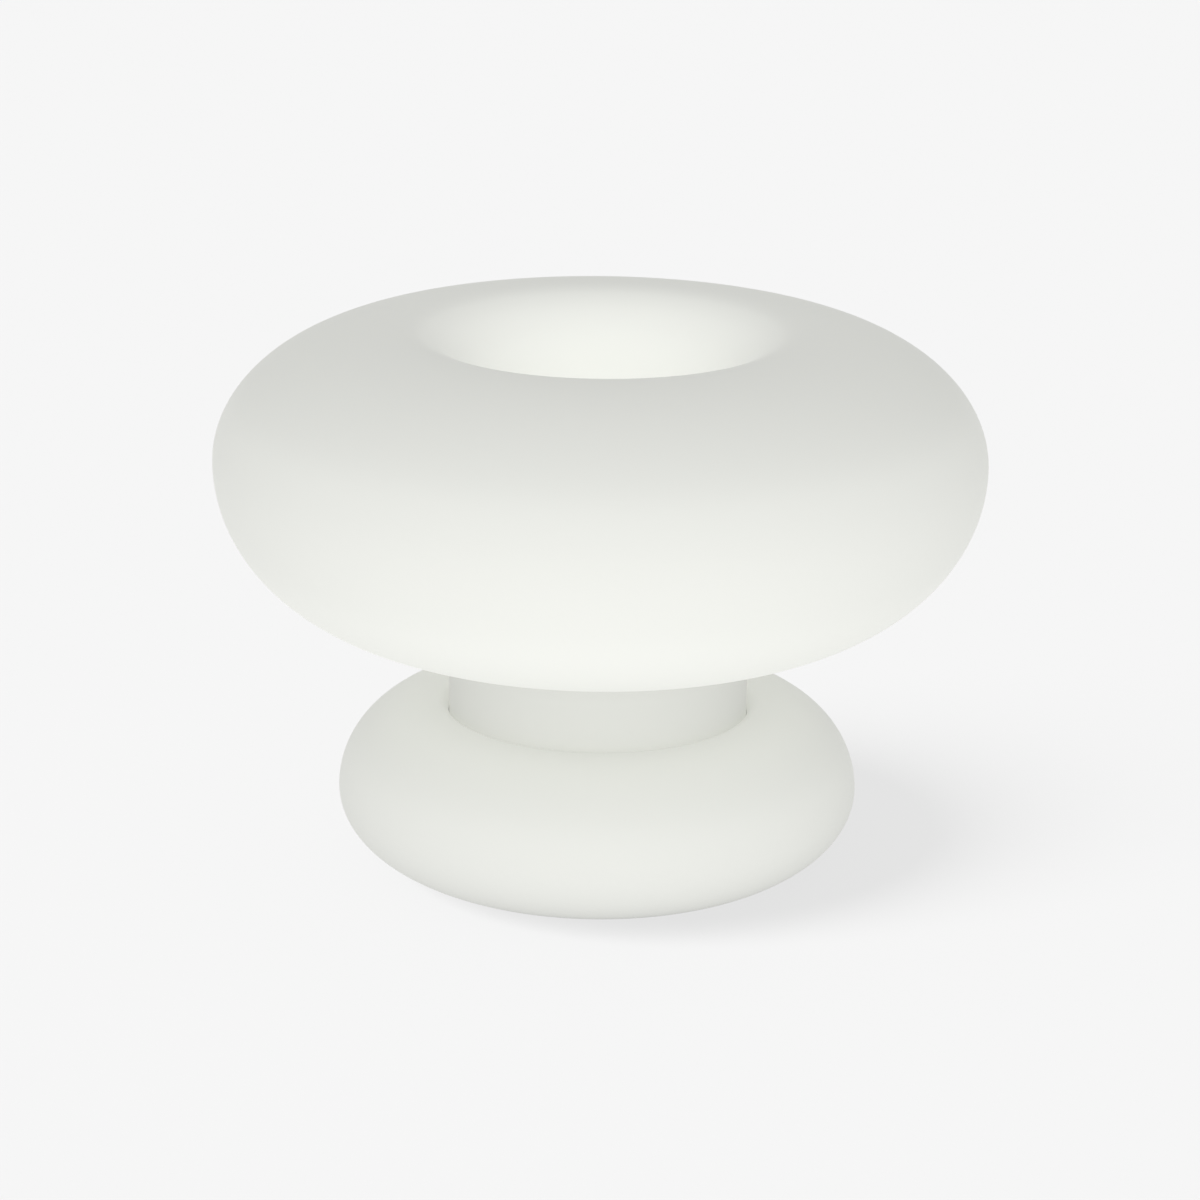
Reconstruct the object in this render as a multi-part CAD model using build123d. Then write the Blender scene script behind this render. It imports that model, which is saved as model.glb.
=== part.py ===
from build123d import *
import os
from math import atan, cos, radians, sin, tan

# A cordless table lamp of two moulded opal shells. A wide ring-shaped shade with a bowl-shaped
# dimple lifts off a flattened base. Millimetres, +Z up, origin on the floor under the axis,
# front towards -Y and the charging port towards +Y.

# ---- Driving dimensions: shade ----
SHADE_RADIUS = 150.0          # widest, at the belt
SHADE_TOP = 216.0             # crown above the floor
CROWN_RING = 79.0             # radius of the circle along the crown
BELT_HEIGHT = 165.5
KEEL_RING = 75.5              # radius of the lowest circle of the shade's underside
KEEL_HEIGHT = 100.5
DIMPLE_RIM_WIDTH = 38.0       # crown circle to the upright of the dimple's wall
DIMPLE_RIM_DEPTH = 53.5
DIMPLE_SLOPE = 67.0           # degrees, where the rim runs into the bowl
WALL = 3.0                    # both opal shells
NECK_RADIUS = 59.0
NECK_FOOT = 60.0              # height of the neck's lower edge
SPIGOT_RADIUS = 56.5          # the stepped-in part below the neck
SPIGOT_DEPTH = 11.0
FIT_GAP = 0.5                 # round the neck and round the spigot

# ---- Driving dimensions: base ----
BASE_RADIUS = 103.0
BASE_BELT = 30.5
BASE_CROWN_RING = 64.0
BASE_TOP = 66.0
FOOT_CIRCLE = 58.0            # where the base's underside turns flat
FOOT_PROUD = 1.0              # rubber below the shell
SEAT_THICK = 3.0              # silicone seat under the neck
COLLAR_DEPTH = 13.0           # socket collar below its ledge

# ---- Driving dimensions: bottom pan and what stands on it ----
PAN_RADIUS = 56.0
PAN_THICK = 3.5
LEDGE_RADIUS = 46.5           # opening in the base shell's underside
LEDGE_OUTER = 76.0
LEDGE_FILL = 68.0             # solid between ledge and skin up to this radius
PAN_SCREW_RING = 51.0
PAN_SCREWS = 6
FOOT_INNER = 38.0
FOOT_OUTER = 46.0
FOOT_SUNK = 1.2
BALLAST_RADIUS = 42.0
BALLAST_THICK = 6.0
BALLAST_SCREW_RING = 30.0
TRAY_THICK = 1.5
CELL_RADIUS = 9.2             # 18650 lithium cell
CELL_LENGTH = 65.0
CELL_OFFSET = 19.2            # cell axes either side of the stem
BOARD_RADIUS = 38.0
BOARD_HEIGHT = 36.0
BOARD_THICK = 1.6
STANDOFFS = ((29.5, 0.0), (-29.5, 0.0), (6.0, 32.0), (-6.0, -32.0))
COVER_RADIUS = 45.5
COVER_WALL = 1.5
COVER_TOP = 52.0
COVER_ROUND = 10.0
LEAD_HEIGHT = 40.5            # both leads reach the board at this height

# ---- Driving dimensions: stem and light ----
STEM_RADIUS = 8.0
STEM_BORE = 6.5
STEM_TOP = 98.0
SINK_RADIUS = 34.0
SINK_TOP = 102.0
SINK_DISC = 4.0
SINK_FINS = 12
LED_BOARD_RADIUS = 30.0
LED_RING = 22.0
LED_COUNT = 12
DOME_RADIUS = 36.0
DOME_BELT = 106.0             # where the skirt runs into the hemisphere
DOME_SKIRT = 96.0
DOME_SCREW_HEIGHT = 100.0
DOME_SCREW_TURN = 30.0        # degrees from +X to the first of three

# ---- Driving dimensions: rear port ----
PORT_HEIGHT = 30.5
PORT_FLOOR = 90.0             # Y of the pocket's floor
POCKET_RADIUS = 18.0
PORT_PLATE_RADIUS = 17.6
PORT_PLATE_THICK = 3.5
PORT_CAN_RADIUS = 12.2
PORT_CAN_BORE = 10.8
PORT_CAN_BACK = 79.0          # Y of the can's open rear edge
PORT_SCREW_X = 15.0
BUTTON_Z = PORT_HEIGHT + 6.0
BUTTON_RADIUS = 4.0
BUTTON_GAP = 0.3
BUTTON_TRAVEL = 1.2
USB_Z = PORT_HEIGHT - 5.6
USB_WIDTH = 8.94
USB_THICK = 3.26
FLAP_PIN_Y = 94.9
FLAP_PIN_Z = 29.9
FLAP_PIN_RADIUS = 0.5
FLAP_WIDTH = 13.0

# ---- Worked out from the above ----
SHELL_BOTTOM = FOOT_PROUD
PAN_TOP = SHELL_BOTTOM + PAN_THICK
BALLAST_TOP = PAN_TOP + BALLAST_THICK
TRAY_TOP = BALLAST_TOP + TRAY_THICK
CELL_HEIGHT = TRAY_TOP + CELL_RADIUS + 1.3
BOARD_TOP = BOARD_HEIGHT + BOARD_THICK
SOCKET_RADIUS = NECK_RADIUS + FIT_GAP
SEAT_LEDGE = NECK_FOOT - SEAT_THICK
PLATE_FRONT = PORT_FLOOR + PORT_PLATE_THICK
LIGHT_TOP = SINK_TOP + BOARD_THICK


# ---- Shapes used by several pieces ----
def turned(outline):
    """Solid of revolution about the lamp's axis from edges drawn as (radius, height)."""
    return revolve(Plane.XZ * make_face(outline), axis=Axis.Z)


def disc(radius, low, high, x=0.0, y=0.0):
    """Upright cylinder between two heights."""
    return Pos(x, y, low) * Cylinder(radius, high - low, align=(Align.CENTER, Align.CENTER, Align.MIN))


def ring(inner, outer, low, high):
    """Flat ring about the lamp's axis."""
    return disc(outer, low, high) - disc(inner, low, high)


def block(x, y, z):
    """Box from (low, high) pairs."""
    size = (x[1] - x[0], y[1] - y[0], z[1] - z[0])
    return Pos(sum(x) / 2, sum(y) / 2, sum(z) / 2) * Box(*size)


def rearward(sketch, start, end, x=0.0, z=PORT_HEIGHT):
    """Extrude a sketch from one Y to another, centred at x and z, its own y axis pointing up."""
    plane = Plane(origin=(x, start, z), x_dir=(-1, 0, 0), z_dir=(0, 1, 0))
    return extrude(plane * sketch, end - start)


def around(count, radius, start=0.0):
    """Places evenly spaced on a circle, as (x, y, degrees)."""
    step = 360.0 / count
    turns = [start + step * i for i in range(count)]
    return [(radius * cos(radians(t)), radius * sin(radians(t)), t) for t in turns]


def upper_right(centre, width, height):
    """Quarter of an ellipse from its rightmost to its topmost point."""
    return EllipticalCenterArc(centre, width, height, start_angle=0, arc_size=90)


def lower_right(centre, width, height):
    """Quarter of an ellipse from its lowest to its rightmost point."""
    return EllipticalCenterArc(centre, width, height, start_angle=270, arc_size=90)


# ---- Opal shells ----
def dimple(inset):
    """Dimple side of the crown: part of an ellipse that runs into a bowl, inset from the outside."""
    width = DIMPLE_RIM_WIDTH - inset
    depth = DIMPLE_RIM_DEPTH - inset
    centre_height = SHADE_TOP - DIMPLE_RIM_DEPTH
    slope = radians(DIMPLE_SLOPE)
    turn = atan(tan(slope) * width / depth)
    meet = (CROWN_RING - width * sin(turn), centre_height + depth * cos(turn))
    bowl_radius = meet[0] / sin(slope)
    bowl_centre = (0, meet[1] + bowl_radius * cos(slope))
    crown = EllipticalCenterArc((CROWN_RING, centre_height), width, depth, start_angle=90, arc_size=90)
    rim = crown.trim(0, crown.param_at_point(Vector(*meet)))
    bowl = CenterArc(bowl_centre, bowl_radius, 270, DIMPLE_SLOPE)
    return [rim, bowl], bowl_centre[1] - bowl_radius


def shade_shell():
    """Shade with neck and stepped spigot, one hollow moulding open at the bottom."""
    neck_round = KEEL_RING - NECK_RADIUS
    round_centre = (KEEL_RING, KEEL_HEIGHT - neck_round)
    spigot_foot = NECK_FOOT - SPIGOT_DEPTH
    outer_dimple, bowl_outside = dimple(0)
    inner_dimple, bowl_inside = dimple(WALL)
    edges = outer_dimple + inner_dimple
    for inset in (0, WALL):
        edges += [
            upper_right((CROWN_RING, BELT_HEIGHT), SHADE_RADIUS - CROWN_RING - inset,
                        SHADE_TOP - BELT_HEIGHT - inset),
            lower_right((KEEL_RING, BELT_HEIGHT), SHADE_RADIUS - KEEL_RING - inset,
                        BELT_HEIGHT - KEEL_HEIGHT - inset),
            CenterArc(round_centre, neck_round + inset, 90, 90),
        ]
    edges += Polyline(
        (NECK_RADIUS, round_centre[1]),
        (NECK_RADIUS, NECK_FOOT),
        (SPIGOT_RADIUS, NECK_FOOT),
        (SPIGOT_RADIUS, spigot_foot),
        (SPIGOT_RADIUS - WALL, spigot_foot),
        (SPIGOT_RADIUS - WALL, NECK_FOOT + 1),
        (NECK_RADIUS - WALL, NECK_FOOT + 3.5),
        (NECK_RADIUS - WALL, round_centre[1]),
    ).edges()
    edges += [Line((0, bowl_inside), (0, bowl_outside))]
    return turned(edges)


def base_outside():
    """The base's outer form, filled to the axis."""
    edges = [
        upper_right((BASE_CROWN_RING, BASE_BELT), BASE_RADIUS - BASE_CROWN_RING, BASE_TOP - BASE_BELT),
        lower_right((FOOT_CIRCLE, BASE_BELT), BASE_RADIUS - FOOT_CIRCLE, BASE_BELT - SHELL_BOTTOM),
    ]
    edges += Polyline((BASE_CROWN_RING, BASE_TOP), (0, BASE_TOP), (0, SHELL_BOTTOM),
                      (FOOT_CIRCLE, SHELL_BOTTOM)).edges()
    return turned(edges)


def base_skin():
    """Crown, belt and socket of the base, as one wall of even thickness."""
    lip = BASE_CROWN_RING - SOCKET_RADIUS
    lip_centre = (BASE_CROWN_RING, BASE_TOP - lip)
    collar_bore = SPIGOT_RADIUS + FIT_GAP
    collar_foot = SEAT_LEDGE - COLLAR_DEPTH
    edges = [CenterArc(lip_centre, lip, 90, 90), CenterArc(lip_centre, lip - WALL, 90, 90)]
    for inset in (0, WALL):
        edges += [
            upper_right((BASE_CROWN_RING, BASE_BELT), BASE_RADIUS - BASE_CROWN_RING - inset,
                        BASE_TOP - BASE_BELT - inset),
            lower_right((FOOT_CIRCLE, BASE_BELT), BASE_RADIUS - FOOT_CIRCLE - inset,
                        BASE_BELT - SHELL_BOTTOM - inset),
        ]
    edges += Polyline(
        (SOCKET_RADIUS, lip_centre[1]),
        (SOCKET_RADIUS, SEAT_LEDGE),
        (collar_bore, SEAT_LEDGE),
        (collar_bore, collar_foot),
        (collar_bore + WALL, collar_foot),
        (collar_bore + WALL, SEAT_LEDGE - WALL),
        (SOCKET_RADIUS + WALL, SEAT_LEDGE - WALL),
        (SOCKET_RADIUS + WALL, lip_centre[1]),
    ).edges()
    edges += Polyline(
        (FOOT_CIRCLE, SHELL_BOTTOM),
        (PAN_RADIUS + FIT_GAP, SHELL_BOTTOM),
        (PAN_RADIUS + FIT_GAP, SHELL_BOTTOM + WALL),
        (FOOT_CIRCLE, SHELL_BOTTOM + WALL),
    ).edges()
    return turned(edges)


def base_shell():
    """Base moulding with socket, inner ledge, screw bosses and the flat-floored pocket at the rear."""
    shell = base_skin() + ring(LEDGE_RADIUS, LEDGE_OUTER, PAN_TOP, PAN_TOP + WALL)
    shell += ring(PAN_RADIUS + FIT_GAP, LEDGE_FILL, SHELL_BOTTOM + 2, PAN_TOP + 1)
    for x, y, _ in around(PAN_SCREWS, PAN_SCREW_RING, 30):
        shell += disc(4.0, PAN_TOP, PAN_TOP + 10, x, y)
    shell += rearward(Circle(POCKET_RADIUS + WALL), PORT_FLOOR - WALL, BASE_RADIUS + 5) & base_outside()
    shell -= rearward(Circle(POCKET_RADIUS), PORT_FLOOR, BASE_RADIUS + 5)
    shell -= rearward(Circle(PORT_CAN_RADIUS + BUTTON_GAP), PORT_FLOOR - WALL - 1, PORT_FLOOR + 1)
    for x in (-PORT_SCREW_X, PORT_SCREW_X):
        shell -= rearward(Circle(1.05), PORT_FLOOR - WALL - 1, PORT_FLOOR + 1, x)
    for x, y, _ in around(PAN_SCREWS, PAN_SCREW_RING, 30):
        shell -= disc(1.55, PAN_TOP - 1, PAN_TOP + 8, x, y)
    return shell


def seat_ring():
    """Silicone ring on the socket's ledge, which the neck's edge rests on."""
    return ring(SPIGOT_RADIUS + FIT_GAP + 0.1, SOCKET_RADIUS - 0.1, SEAT_LEDGE, NECK_FOOT)


# ---- Bottom pan, feet and ballast ----
def bottom_pan():
    """Round closing plate with a groove for the foot ring and sunk screw seats."""
    pan = disc(PAN_RADIUS, SHELL_BOTTOM, PAN_TOP)
    pan -= ring(FOOT_INNER, FOOT_OUTER, SHELL_BOTTOM, SHELL_BOTTOM + FOOT_SUNK)
    for x, y, _ in around(PAN_SCREWS, PAN_SCREW_RING, 30):
        pan -= disc(3.1, SHELL_BOTTOM, SHELL_BOTTOM + 2, x, y) + disc(1.6, SHELL_BOTTOM, PAN_TOP, x, y)
    for x, y, _ in around(3, BALLAST_SCREW_RING):
        pan -= disc(3.8, SHELL_BOTTOM, SHELL_BOTTOM + 2.3, x, y) + disc(2.1, SHELL_BOTTOM, PAN_TOP, x, y)
    return pan


def foot_ring():
    """Non-slip rubber ring, the only thing that touches the table."""
    foot = ring(FOOT_INNER, FOOT_OUTER, 0, SHELL_BOTTOM + FOOT_SUNK)
    return fillet(foot.edges().group_by(Axis.Z)[0], 0.4)


def screw(x, y, head_low, head_radius, head_thick, shank_radius, tip):
    """Upward-pointing screw with a hexagon socket in its head."""
    head = disc(head_radius, head_low, head_low + head_thick, x, y)
    drive = Pos(x, y, head_low) * extrude(RegularPolygon(head_radius * 0.45, 6), head_thick * 0.6)
    return head + disc(shank_radius, head_low + head_thick, tip, x, y) - drive


def pan_screws():
    places = around(PAN_SCREWS, PAN_SCREW_RING, 30)
    return [screw(x, y, SHELL_BOTTOM + 0.2, 2.8, 1.8, 1.5, PAN_TOP + 7.5) for x, y, _ in places]


def ballast_screws():
    places = around(3, BALLAST_SCREW_RING)
    return [screw(x, y, SHELL_BOTTOM + 0.2, 3.5, 2.1, 2.0, BALLAST_TOP - 1) for x, y, _ in places]


def ballast_plate():
    """Steel disc that keeps the top-heavy lamp upright, tapped for the stem and three screws."""
    plate = disc(BALLAST_RADIUS, PAN_TOP, BALLAST_TOP) - disc(5.1, PAN_TOP, BALLAST_TOP)
    plate -= disc(8.6, PAN_TOP, PAN_TOP + 4)
    for x, y, _ in around(3, BALLAST_SCREW_RING):
        plate -= disc(2.05, PAN_TOP, BALLAST_TOP - 0.9, x, y)
    return plate


# ---- Battery and driver ----
def cell_body(y, inset=0.0):
    """Lying cylinder round one cell's axis."""
    return Pos(0, y, CELL_HEIGHT) * Rot(0, 90, 0) * Cylinder(CELL_RADIUS + inset, CELL_LENGTH - 1)


def battery_tray():
    """Plastic tray with two saddle ribs under the cells."""
    tray = disc(BALLAST_RADIUS, BALLAST_TOP, TRAY_TOP)
    for x in (-24.0, 24.0):
        tray += block((x - 1.5, x + 1.5), (-30, 30), (TRAY_TOP - 0.5, CELL_HEIGHT))
    for y in (-CELL_OFFSET, CELL_OFFSET):
        tray -= cell_body(y, 0.1)
    return tray - disc(STEM_RADIUS + 0.2, BALLAST_TOP, TRAY_TOP)


def battery_cells():
    """Two rechargeable cells, each a wrapped can with a raised end contact."""
    cells = []
    for y, end in ((-CELL_OFFSET, 1), (CELL_OFFSET, -1)):
        contact = Pos(end * CELL_LENGTH / 2 - end * 0.5, y, CELL_HEIGHT) * Rot(0, 90, 0) * Cylinder(3.4, 1)
        cells.append(chamfer(cell_body(y).edges(), 0.6) + contact)
    return cells


def battery_straps():
    """Two thin bands round both cells."""
    outer = SlotCenterToCenter(2 * CELL_OFFSET, 2 * (CELL_RADIUS + 1.1))
    inner = SlotCenterToCenter(2 * CELL_OFFSET, 2 * (CELL_RADIUS + 0.3))
    straps = []
    for x in (-14.0, 14.0):
        plane = Plane(origin=(x - 4, 0, CELL_HEIGHT), x_dir=(0, 1, 0), z_dir=(1, 0, 0))
        straps.append(extrude(plane * (outer - inner), 8))
    return straps


def cell_links():
    """Nickel strips welded across the cells' ends."""
    links = []
    for side in (-1, 1):
        x = sorted((side * (CELL_LENGTH / 2 + 0.05), side * (CELL_LENGTH / 2 + 0.4)))
        links.append(block(x, (-CELL_OFFSET - 3.5, CELL_OFFSET + 3.5), (CELL_HEIGHT - 3, CELL_HEIGHT + 3)))
    return links


def driver_board():
    """Round circuit board with a hole for the stem."""
    board = ring(STEM_RADIUS + 2, BOARD_RADIUS, BOARD_HEIGHT, BOARD_TOP)
    for x, y in STANDOFFS:
        board -= disc(1.4, BOARD_HEIGHT, BOARD_TOP, x, y)
    return board


def board_standoffs():
    """Four hexagon pillars between the tray and the board."""
    posts = []
    for x, y in STANDOFFS:
        pillar = Pos(x, y, TRAY_TOP) * extrude(RegularPolygon(2.75, 6), BOARD_HEIGHT - TRAY_TOP)
        posts.append(pillar - disc(1.3, BOARD_HEIGHT - 8, BOARD_HEIGHT, x, y))
    return posts


def board_screws():
    """Four round-headed screws that hold the board down."""
    screws = []
    for x, y in STANDOFFS:
        head = disc(2.3, BOARD_TOP, BOARD_TOP + 1.5, x, y)
        slot = block((x - 1.8, x + 1.8), (y - 0.3, y + 0.3), (BOARD_TOP + 0.9, BOARD_TOP + 1.5))
        screws.append(head + disc(1.25, BOARD_HEIGHT - 7, BOARD_TOP, x, y) - slot)
    return screws


def driver_chips():
    """Charge controller, LED driver and memory packages on the board."""
    places = ((-15, 20, 7, 7, 1.2), (15, -18, 5, 6, 1.5), (-20, -12, 5, 4, 1.2))
    return [block((x - w / 2, x + w / 2), (y - d / 2, y + d / 2), (BOARD_TOP, BOARD_TOP + h))
            for x, y, w, d, h in places]


def driver_coil():
    """Shielded power inductor with rounded upright corners."""
    body = block((-8, 2), (-28, -18), (BOARD_TOP, BOARD_TOP + 4.5))
    return fillet(body.edges().filter_by(Axis.Z), 2) - disc(3.2, BOARD_TOP + 4, BOARD_TOP + 4.5, -3, -23)


def driver_capacitors():
    """Two upright electrolytic cans."""
    return [fillet(disc(3.5, BOARD_TOP, BOARD_TOP + 7, x, y).edges().group_by(Axis.Z)[-1], 0.5)
            for x, y in ((20, 17), (-25, 9))]


def lead_sockets():
    """Three wire-to-board housings, one at each lead's end."""
    low, high = BOARD_TOP, BOARD_TOP + 6
    lamp = block((19, 26), (-3.5, 3.5), (low, high))
    port = block((-3.5, 3.5), (27.5 - 4.5, 27.5 + 1.5), (low, high))
    cells = block((28, 34), (11.5, 16.5), (low, high - 2))
    return [lamp, port, cells]


def inner_cover():
    """White drum over battery and board, which also throws the light outwards."""
    edges = []
    for inset in (0, COVER_WALL):
        side, top = COVER_RADIUS - inset, COVER_TOP - inset
        curve = COVER_ROUND - inset
        edges += Polyline((side, PAN_TOP), (side, top - curve)).edges()
        edges += [CenterArc((side - curve, top - curve), curve, 0, 90)]
        edges += Polyline((side - curve, top), (STEM_RADIUS + 0.3, top)).edges()
    edges += [Line((COVER_RADIUS, PAN_TOP), (COVER_RADIUS - COVER_WALL, PAN_TOP))]
    edges += [Line((STEM_RADIUS + 0.3, COVER_TOP), (STEM_RADIUS + 0.3, COVER_TOP - COVER_WALL))]
    return turned(edges) - rearward(Circle(2.6), 30, 60, z=LEAD_HEIGHT)


def cover_grommet():
    """Rubber bush where the port's lead passes through the cover."""
    wall = COVER_RADIUS - COVER_WALL
    bush = rearward(Circle(2.5), wall - 1.5, COVER_RADIUS + 1.5, z=LEAD_HEIGHT)
    flange = rearward(Circle(4.0), COVER_RADIUS + 0.1, COVER_RADIUS + 1.5, z=LEAD_HEIGHT)
    return bush + flange - rearward(Circle(1.6), 30, 60, z=LEAD_HEIGHT)


# ---- Stem and light ----
def stem_stud():
    """Turned plug in the stem's foot with a threaded end through the ballast."""
    plug = chamfer(disc(STEM_BORE - 0.05, BALLAST_TOP, 24).edges().group_by(Axis.Z)[-1], 1)
    return plug + disc(5.0, PAN_TOP + 0.2, BALLAST_TOP)


def stem_nut():
    """Hexagon nut in the ballast's underside."""
    nut = Pos(0, 0, PAN_TOP + 0.8) * extrude(RegularPolygon(8.0, 6), 3.2)
    return nut - disc(5.05, PAN_TOP, BALLAST_TOP)


def stem_tube():
    """Aluminium tube that carries the light, slotted at the side for its lead."""
    tube = ring(STEM_BORE, STEM_RADIUS, BALLAST_TOP, STEM_TOP)
    return tube - block((2, 10), (-2.2, 2.2), (LEAD_HEIGHT - 2.5, LEAD_HEIGHT + 7))


def stem_collar():
    """Clamp ring that holds the cover down."""
    collar = ring(STEM_RADIUS + 0.05, 13.0, COVER_TOP, COVER_TOP + 7)
    collar = chamfer(collar.edges().group_by(Axis.Z)[-1].group_by(SortBy.LENGTH)[-1], 1)
    return collar - Pos(11, 0, COVER_TOP + 3.5) * Rot(0, 90, 0) * Cylinder(1.55, 6)


def collar_screw():
    """Grub screw of the collar."""
    grub = Pos(10.4, 0, COVER_TOP + 3.5) * Rot(0, 90, 0) * Cylinder(1.5, 4.4)
    socket = Plane(origin=(11, 0, COVER_TOP + 3.5), z_dir=(1, 0, 0)) * RegularPolygon(0.8, 6)
    return grub - extrude(socket, 2)


def heat_sink():
    """Aluminium disc with a hub over the stem's end and fins below."""
    plate_low = SINK_TOP - SINK_DISC
    low = plate_low - 8
    sink = disc(SINK_RADIUS, plate_low, SINK_TOP) + disc(12, low, plate_low)
    for _, _, turn in around(SINK_FINS, 1):
        sink += Rot(0, 0, turn) * block((11, SINK_RADIUS - 2), (-0.75, 0.75), (low, plate_low + 0.5))
    sink -= disc(STEM_RADIUS + 0.05, low, STEM_TOP) + disc(2.5, STEM_TOP, SINK_TOP)
    for x, y, _ in around(3, 13, 30):
        sink -= disc(1.3, SINK_TOP - 3.5, SINK_TOP, x, y)
    for _, _, turn in around(3, 1, DOME_SCREW_TURN):
        sink -= Rot(0, 0, turn) * Pos(33, 0, DOME_SCREW_HEIGHT) * Rot(0, 90, 0) * Cylinder(1.05, 6)
    return sink


def led_board():
    """Metal-cored board under the light's dome."""
    board = ring(2.5, LED_BOARD_RADIUS, SINK_TOP, LIGHT_TOP)
    for x, y, _ in around(3, 13, 30):
        board -= disc(1.4, SINK_TOP, LIGHT_TOP, x, y)
    return board


def led_chips():
    """Ring of white LED packages, each with a round phosphor window."""
    chips = []
    for x, y, turn in around(LED_COUNT, LED_RING):
        package = Box(3.5, 2.8, 0.8, align=(Align.CENTER, Align.CENTER, Align.MIN))
        window = Pos(0, 0, 0.8) * Cylinder(1.1, 0.15, align=(Align.CENTER, Align.CENTER, Align.MIN))
        chips.append(Pos(x, y, LIGHT_TOP) * Rot(0, 0, turn) * (package + window))
    return chips


def led_screws():
    """Three screws that press the board on the heat sink."""
    screws = []
    for x, y, _ in around(3, 13, 30):
        head = disc(2.4, LIGHT_TOP, LIGHT_TOP + 1.6, x, y)
        drive = Pos(x, y, LIGHT_TOP + 0.7) * extrude(RegularPolygon(1.1, 6), 0.9)
        screws.append(head + disc(1.25, SINK_TOP - 3, LIGHT_TOP, x, y) - drive)
    return screws


def led_plug():
    """Connector over the board's centre hole, where the lamp lead ends."""
    plug = block((-4, 4), (-3, 3), (LIGHT_TOP, LIGHT_TOP + 4))
    return chamfer(plug.edges().group_by(Axis.Z)[-1], 0.5)


def light_dome():
    """Opal hemisphere over the LEDs, its skirt round the heat sink."""
    edges = []
    for radius in (DOME_RADIUS, SINK_RADIUS + 0.1):
        edges += [Line((radius, DOME_SKIRT), (radius, DOME_BELT)), CenterArc((0, DOME_BELT), radius, 0, 90)]
    edges += [Line((SINK_RADIUS + 0.1, DOME_SKIRT), (DOME_RADIUS, DOME_SKIRT))]
    edges += [Line((0, DOME_BELT + SINK_RADIUS + 0.1), (0, DOME_BELT + DOME_RADIUS))]
    dome = turned(edges)
    for _, _, turn in around(3, 1, DOME_SCREW_TURN):
        dome -= Rot(0, 0, turn) * Pos(35, 0, DOME_SCREW_HEIGHT) * Rot(0, 90, 0) * Cylinder(1.15, 6)
    return dome


def dome_screws():
    """Three radial screws through the dome's skirt."""
    screws = []
    outside = DOME_RADIUS + 0.05
    for _, _, turn in around(3, 1, DOME_SCREW_TURN):
        shank = Pos((31 + outside) / 2, 0, DOME_SCREW_HEIGHT) * Rot(0, 90, 0) * Cylinder(1.0, outside - 31)
        head = Pos(outside + 0.6, 0, DOME_SCREW_HEIGHT) * Rot(0, 90, 0) * Cylinder(1.9, 1.2)
        slot = Pos(outside + 1.1, 0, DOME_SCREW_HEIGHT) * Box(0.4, 3.8, 0.5)
        screws.append(Rot(0, 0, turn) * (shank + head - slot))
    return screws


# ---- Leads, each held at both ends ----
def lead(points, radii, radius, name):
    """Round lead along straight runs joined by tangent arcs, its radii and volume printed."""
    path = FilletPolyline(*points, radius=radii) if len(points) > 2 else Line(*points)
    section = Plane(origin=path @ 0, z_dir=path % 0) * Circle(radius)
    solid = sweep(section, path=path)
    expected = section.area * path.length
    print(f"{name}: length {path.length:.1f}, radii {radii}, volume {solid.volume:.1f} of {expected:.1f}")
    return solid


def lamp_lead():
    """From the driver board up the stem to the light."""
    route = ((0, 0, LIGHT_TOP), (0, 0, LEAD_HEIGHT), (19, 0, LEAD_HEIGHT))
    return lead(route, 8.5, 1.2, "lamp_lead")


def port_lead():
    """From the port's board, through the grommet, to the driver board."""
    route = ((0, PORT_CAN_BACK + 1, PORT_HEIGHT), (0, 67, PORT_HEIGHT), (0, 58, LEAD_HEIGHT),
             (0, 29, LEAD_HEIGHT))
    return lead(route, 11.0, 1.5, "port_lead")


def battery_lead():
    """Short riser from the cells' link to the board."""
    return lead(((CELL_LENGTH / 2 + 1.5, 14, CELL_HEIGHT), (CELL_LENGTH / 2 + 1.5, 14, BOARD_HEIGHT)),
                0, 1.0, "battery_lead")


# ---- Rear port ----
def port_housing():
    """Round plate with a can behind it, and two ears for the flap's pin."""
    housing = rearward(Circle(PORT_PLATE_RADIUS), PORT_FLOOR, PLATE_FRONT)
    housing = fillet(housing.edges().group_by(Axis.Y)[-1], 0.8)
    housing += rearward(Circle(PORT_CAN_RADIUS), PORT_CAN_BACK, PORT_FLOOR)
    housing -= rearward(Circle(PORT_CAN_BORE), PORT_CAN_BACK, PORT_FLOOR)
    for side in (-1, 1):
        x = sorted((side * 7.2, side * 8.8))
        ear = block(x, (PLATE_FRONT - 0.5, FLAP_PIN_Y), (FLAP_PIN_Z - 1.3, FLAP_PIN_Z + 1.3))
        eye = Pos(side * 8.0, FLAP_PIN_Y, FLAP_PIN_Z) * Rot(0, 90, 0) * Cylinder(1.3, 1.6)
        housing += ear + eye
    housing -= Pos(0, FLAP_PIN_Y, FLAP_PIN_Z) * Rot(0, 90, 0) * Cylinder(FLAP_PIN_RADIUS, 30)
    housing -= rearward(Circle(BUTTON_RADIUS + BUTTON_GAP), PORT_FLOOR - 1, PLATE_FRONT + 1, z=BUTTON_Z)
    slot = SlotOverall(USB_WIDTH + 0.6, USB_THICK + 0.6)
    housing -= rearward(slot, PORT_FLOOR - 1, PLATE_FRONT + 1, z=USB_Z)
    housing -= rearward(Circle(14.1) - Circle(12.9), PORT_FLOOR, PORT_FLOOR + 0.8)
    for x in (-PORT_SCREW_X, PORT_SCREW_X):
        housing -= rearward(Circle(1.1), PORT_FLOOR, PLATE_FRONT, x)
        housing -= rearward(Circle(2.0), PORT_FLOOR + 2, PLATE_FRONT, x)
    return housing


def port_gasket():
    """Sealing ring between the plate and the pocket's floor."""
    return rearward(Circle(14.0) - Circle(13.0), PORT_FLOOR, PORT_FLOOR + 0.75)


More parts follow.
